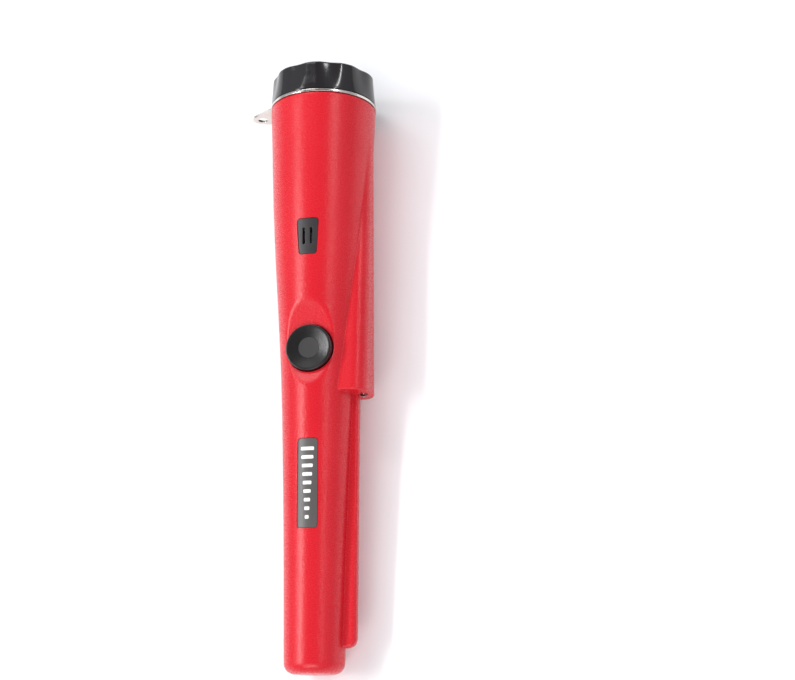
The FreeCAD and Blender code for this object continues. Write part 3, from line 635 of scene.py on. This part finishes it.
def make_cap():
    angles = np.radians(spread((0, 360, 0.8))[:-1])
    rings = []
    edge = 0.3
    start_radius = cap_radius(angles, CAP_START)
    for turn in (0.0, 0.5, 1.0):
        rings.append(ring_at(angles, CAP_START + edge * (1 - math.cos(turn * math.pi / 2)),
                             start_radius - edge * (1 - math.sin(turn * math.pi / 2))))
    for station in spread((CAP_START + 0.6, CAP_END - CAP_RIM, 0.5)):
        rings.append(ring_at(angles, station, cap_radius(angles, station)))
    top = cap_radius(angles, CAP_END)
    for i in range(1, 9):
        turn = math.pi / 2 * i / 8
        shoulder = cap_radius(angles, CAP_END - CAP_RIM) * math.cos(turn) + top * (1 - math.cos(turn))
        rings.append(ring_at(angles, CAP_END - CAP_RIM + CAP_RIM * math.sin(turn),
                             shoulder - CAP_RIM * (1 - math.cos(turn))))
    flat = rings[-1][:, [0, 2]]
    for share in (0.93, 0.88):
        rings.append(np.stack([flat[:, 0] * share, np.full(len(angles), CAP_END), flat[:, 1] * share], axis=1))
    dimple = CAP_END - CAP_DIMPLE
    for radius, station in ((15.2, CAP_END), (14.9, dimple), (8.0, dimple), (1.2, dimple)):
        rings.append(ring_at(angles, station, radius))
    inside = [ring_at(angles, CAP_START, CAP_BORE + 0.8), ring_at(angles, CAP_START + 0.2, CAP_BORE + 0.6),
              ring_at(angles, CAP_START + 1.8, CAP_BORE + 0.6), ring_at(angles, CAP_START + 1.8, CAP_BORE)]
    for station in spread((CAP_START + 2.0, CAP_CEILING - 0.2, 0.17)):
        ridge = thread_height(angles, station, THREAD_START + THREAD_PITCH / 2, 1.4)
        inside.append(ring_at(angles, station, CAP_BORE - ridge))
    inside.append(ring_at(angles, CAP_CEILING, CAP_BORE - 0.2))
    inside.append(ring_at(angles, CAP_CEILING, 5.0))
    vertices, faces = closed_surface(inside[::-1] + rings, (0, CAP_CEILING, 0), (0, dimple, 0))
    piece = new_piece("cap_shell", vertices, faces, "cap", CAP_BLACK, 42.0)
    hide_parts("battery_cap")


# ---- lanyard ring ----
def ring_outline():
    half = math.radians(EAR_HALF_ANGLE)
    steps = 24
    nose = [(EAR_REACH + EAR_NOSE * math.cos(a), EAR_NOSE * math.sin(a))
            for a in np.linspace(-(math.pi / 2 - half), math.pi / 2 - half, steps)]
    x, y = nose[-1]
    along = x * math.cos(half) - y * math.sin(half)
    run = along - math.sqrt(along ** 2 - (x * x + y * y - RING_RADIUS ** 2))
    foot = (x - math.cos(half) * run, y + math.sin(half) * run)
    start = math.atan2(foot[1], foot[0])
    disc = [(RING_RADIUS * math.cos(a), RING_RADIUS * math.sin(a))
            for a in np.linspace(start, 2 * math.pi - start, 220)]
    return nose + disc


def circle_outline(radius, centre, count):
    return [(centre + radius * math.cos(2 * math.pi * i / count), radius * math.sin(2 * math.pi * i / count))
            for i in range(count)]


def make_ring():
    holes = [circle_outline(RING_HOLE, 0, 180), circle_outline(EAR_HOLE, EAR_REACH, 48)]
    mesh = flat_plate([ring_outline()] + holes, RING_THICK, 0.14, 3)
    turn = math.radians(EAR_TURN)
    middle = RING_START + RING_THICK / 2
    vertices = []
    for vertex in mesh.vertices:
        x, y, height = vertex.co
        vertices.append((x * math.cos(turn) - y * math.sin(turn), middle + height,
                         x * math.sin(turn) + y * math.cos(turn)))
    faces = [tuple(f.vertices) for f in mesh.polygons]
    bpy.data.meshes.remove(mesh)
    piece = new_piece("ring_plate", vertices, faces, "ring", STEEL, 50.0)
    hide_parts("lanyard_ring")


# ---- button ----
def turned_rings(profile, angles, station):
    """Rings of a turned shape whose axis points out of the button; profile is (radius, height)."""
    rings = []
    for radius, height in profile:
        rings.append(np.stack([radius * np.cos(angles), station + radius * np.sin(angles),
                               np.full(len(angles), height)], axis=1))
    return rings


def arc_points(centre, radius, start, end, steps=8):
    return [(centre[0] + radius * math.cos(math.radians(a)), centre[1] + radius * math.sin(math.radians(a)))
            for a in np.linspace(start, end, steps)]


def make_button():
    """Dished cap: small flat centre, conical dish, rounded rim, skirt, flange and stem."""
    edge = 0.45
    dish = BUTTON_FACE - DISH_DEPTH
    profile = [(0.8, dish), (DISC_RADIUS - 0.3, dish), (DISC_RADIUS, dish + 0.02), (DISC_RADIUS + 0.3, dish + 0.06),
               (BUTTON_RADIUS - 1.1, BUTTON_FACE - 0.08), (BUTTON_RADIUS - 0.8, BUTTON_FACE - 0.02)]
    profile += arc_points((BUTTON_RADIUS - edge, BUTTON_FACE - edge), edge, 90, 0)
    profile += [(BUTTON_RADIUS, 9.4), (BUTTON_RADIUS, 9.3), (9.3, 9.3), (9.4, 9.2), (9.4, 8.4), (9.3, 8.3),
                (7.4, 8.3), (7.4, 12.0), (7.2, 12.2), (2.2, 12.2), (2.0, 12.0), (2.0, 7.55), (1.9, 7.45)]
    angles = np.radians(spread((0, 360, 2.5))[:-1])
    rings = turned_rings(profile, angles, BUTTON_STATION)
    vertices, faces = closed_surface(rings, (0, BUTTON_STATION, dish), (0, BUTTON_STATION, 7.45))
    piece = new_piece("button_cap", vertices, faces, "button", BUTTON_BLACK, 42.0)
    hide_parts("power_button")


# ---- carried CAD nodes ----
def dress_nodes():
    looks = {
        RUBBER: ("battery_bumper", "cap_seal_ring", "speaker_gasket", "tip_cushion", "motor_sleeve"),
        WIRE_STEEL: ("button_spring", "board_screws"),
        CAN_ALUMINIUM: ("speaker", "capacitors", "crystal", "vibration_motor"),
        NICKEL: ("motor_weight", "battery_terminals", "snap_contacts"),
        CHIP: ("power_switch", "integrated_circuits", "snap_connector"),
        NYLON: ("switch_plunger", "coil_connector", "coil_former"),
        COPPER: ("transmit_coil", "receive_coil", "coil_wires"),
        WIRE_RED: ("lamp_wires", "motor_wires", "battery_lead_red"),
        WIRE_BLACK: ("speaker_wires", "battery_lead_black"),
        JACKET: ("battery",),
        FERRITE: ("ferrite_rod",),
        BOARD: ("circuit_board",),
        CHASSIS: ("chassis",),
        LENS: ("lamp",),
    }
    for material, names in looks.items():
        for name in names:
            mesh = frame["nodes"][name].data
            for i in range(len(mesh.materials)):
                mesh.materials[i] = material
            if not mesh.materials:
                mesh.materials.append(material)


# ---- stage, light and camera ----
CAMERA_PLACE = (168.6, -24.8, 534.9)       # mm, probe frame
CAMERA_AHEAD = (-0.2420, 0.2562, -0.9358)
CAMERA_UP = (0.0608, 0.9666, 0.2489)
CAMERA_LENS = 69.5
FLOOR_REACH = 4.0
LIGHTS = {                                 # place, target and size in m, power in W
    "key": ((-0.52, 0.02, 0.67), (0, 0.02, 0.02), (0.08, 0.55), 2.9),
    "right_strip": ((0.56, 0.10, 0.66), (0, 0.02, 0.02), (0.05, 0.6), 0.8),
    "cap_strip": ((0.56, 0.53, 0.66), (0, 0.10, 0.02), (0.04, 0.30), 1.0),
    "left_soft": ((-1.10, -0.35, 1.25), (0, 0, 0.02), (0.9, 0.9), 6.0),
    "front_soft": ((0.05, -1.30, 1.20), (0, 0, 0.02), (1.2, 0.8), 14.0),
    "back_soft": ((-0.50, 1.15, 1.29), (0, 0, 0.02), (1.0, 0.32), 7.0),
}


def make_camera():
    camera = bpy.data.objects.new("camera", bpy.data.cameras.new("camera"))
    bpy.context.scene.collection.objects.link(camera)
    turn = TO_ROW.to_3x3().normalized()
    ahead = turn @ Vector(CAMERA_AHEAD).normalized()
    right = ahead.cross(turn @ Vector(CAMERA_UP)).normalized()
    facing = Matrix((right, right.cross(ahead), -ahead)).transposed()
    camera.matrix_world = Matrix.Translation(TO_ROW @ Vector(CAMERA_PLACE)) @ facing.to_4x4()
    camera.data.lens = CAMERA_LENS
    camera.data.sensor_width = 36.0
    camera.data.clip_start = 0.01
    bpy.context.scene.camera = camera


def area_light(name, place, target, size, power):
    data = bpy.data.lights.new(name, "AREA")
    data.shape = "RECTANGLE"
    data.size, data.size_y = size
    data.energy = power
    light = bpy.data.objects.new(name, data)
    bpy.context.scene.collection.objects.link(light)
    ahead = (Vector(target) - Vector(place)).normalized()
    up = Vector((0, 1, 0))
    right = ahead.cross(up).normalized()
    facing = Matrix((right, right.cross(ahead), -ahead)).transposed()
    light.matrix_world = Matrix.Translation(Vector(place)) @ facing.to_4x4()


def make_sky():
    """Bright walls under a darker ceiling, so glossy tops stay dark."""
    world = bpy.data.worlds.new("studio")
    world.use_nodes = True
    tree = world.node_tree
    place = tree.nodes.new("ShaderNodeTexCoord").outputs["Generated"]
    split = tree.nodes.new("ShaderNodeSeparateXYZ")
    tree.links.new(place, split.inputs["Vector"])
    shade = ramp(tree, split.outputs["Z"], [(0.0, (0.42, 0.43, 0.46)), (0.55, (0.58, 0.59, 0.63)), (0.88, 0.18)])
    tree.links.new(shade, tree.nodes["Background"].inputs["Color"])
    tree.nodes["Background"].inputs["Strength"].default_value = 1.0
    bpy.context.scene.world = world


def make_stage():
    mesh = bpy.data.meshes.new("floor")
    corners = [(-1, -1), (1, -1), (1, 1), (-1, 1)]
    mesh.from_pydata([(x * FLOOR_REACH, y * FLOOR_REACH, 0) for x, y in corners], [], [(0, 1, 2, 3)])
    floor = bpy.data.objects.new("floor", mesh)
    bpy.context.scene.collection.objects.link(floor)
    mesh.materials.append(moulded("floor_white", (0.93, 0.935, 0.95), (0.95, 0.955, 0.97), (0.5, 0.6), 300.0, 1e-6))
    make_sky()
    for name, (place, target, size, power) in LIGHTS.items():
        area_light(name, place, target, size, power)
    bpy.context.scene.view_settings.view_transform = "Standard"


make_housing()
make_grille()
make_badge()
make_cap()
make_ring()
make_button()
dress_nodes()
make_camera()
make_stage()
